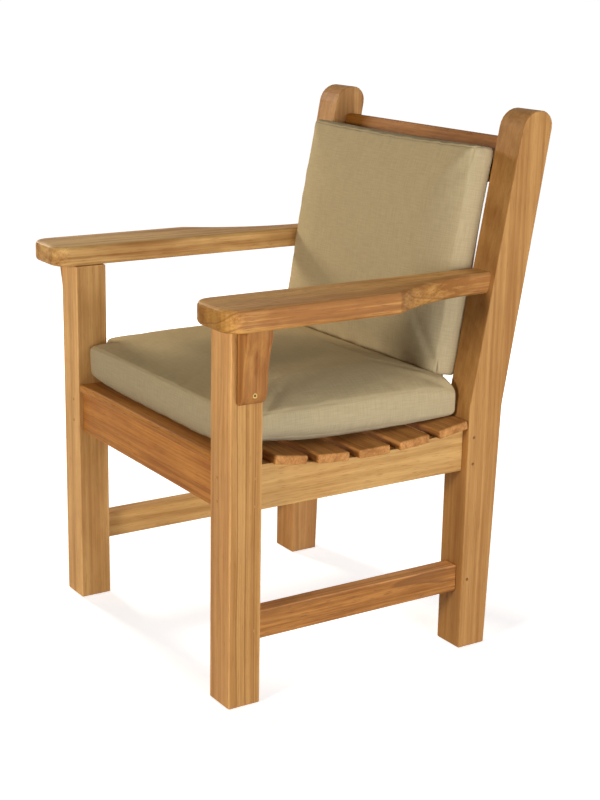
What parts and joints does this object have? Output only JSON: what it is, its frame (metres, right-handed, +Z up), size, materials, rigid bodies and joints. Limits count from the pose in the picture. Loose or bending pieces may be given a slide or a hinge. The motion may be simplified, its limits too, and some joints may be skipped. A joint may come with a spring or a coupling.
{
  "type": "outdoor armchair",
  "caption": "Solid teak outdoor armchair with wide bracketed arms, raked back posts, a dished slatted seat, and loose fabric seat and back cushions.",
  "frame": {"origin": "on the floor, midway across the width and midway between the arms' front ends and the backs of the posts", "axes": "+Z up, +X to the sitter's left, +Y from the seat's front to its back"},
  "size_m": [0.708, 0.6478, 0.9255],
  "materials": {
    "teak_planed": "planed bare teak, satin",
    "teak_sawn": "bare teak, satin",
    "teak_red": "bare redder teak, satin",
    "pin_wood": "end grain of wooden pins, matte",
    "brass": "plain brass screw head",
    "cushion_fabric": "woven khaki outdoor cloth, matte"
  },
  "bodies": {
    "frame": {"front_leg_left": "teak_planed", "front_leg_right": "teak_planed", "rear_post_left": "teak_planed", "rear_post_right": "teak_planed", "side_seat_rail_left": "teak_sawn", "side_seat_rail_right": "teak_sawn", "side_stretcher_left": "teak_sawn", "side_stretcher_right": "teak_sawn", "front_seat_rail": "teak_sawn", "rear_seat_rail": "teak_sawn", "top_back_rail": "teak_planed", "back_slat_1": "teak_sawn", "back_slat_2": "teak_sawn", "back_slat_3": "teak_sawn", "front_seat_slat": "teak_planed", "seat_slat_1": "teak_planed", "seat_slat_2": "teak_planed", "seat_slat_3": "teak_planed", "seat_slat_4": "teak_planed", "seat_slat_5": "teak_planed", "arm_left": "teak_planed", "arm_right": "teak_planed", "arm_bracket_left": "teak_red", "arm_bracket_right": "teak_red", "seat_rail_pin_front_lower_left": "pin_wood", "seat_rail_pin_front_upper_left": "pin_wood", "stretcher_pin_front_left": "pin_wood", "seat_rail_pin_rear_lower_left": "pin_wood", "seat_rail_pin_rear_upper_left": "pin_wood", "stretcher_pin_rear_left": "pin_wood", "front_rail_pin_lower_left": "pin_wood", "rear_rail_pin_lower_left": "pin_wood", "front_rail_pin_upper_left": "pin_wood", "rear_rail_pin_upper_left": "pin_wood", "top_rail_pin_left": "pin_wood", "seat_rail_pin_front_lower_right": "pin_wood", "seat_rail_pin_front_upper_right": "pin_wood", "stretcher_pin_front_right": "pin_wood", "seat_rail_pin_rear_lower_right": "pin_wood", "seat_rail_pin_rear_upper_right": "pin_wood", "stretcher_pin_rear_right": "pin_wood", "front_rail_pin_lower_right": "pin_wood", "rear_rail_pin_lower_right": "pin_wood", "front_rail_pin_upper_right": "pin_wood", "rear_rail_pin_upper_right": "pin_wood", "top_rail_pin_right": "pin_wood", "bracket_screw_left": "brass", "bracket_screw_right": "brass"},
    "seat_cushion": {"seat_cushion": "cushion_fabric"},
    "back_cushion": {"back_cushion": "cushion_fabric"}
  },
  "joints": [
    {"name": "seat_cushion_lift", "type": "slide", "parent": "frame", "child": "seat_cushion", "axis": [0, 0, 1], "range_m": [0, 0.12]},
    {"name": "back_cushion_lift", "type": "slide", "parent": "seat_cushion", "child": "back_cushion", "axis": [0, 0.1771, 0.9842], "range_m": [0, 0.25]}
  ]
}
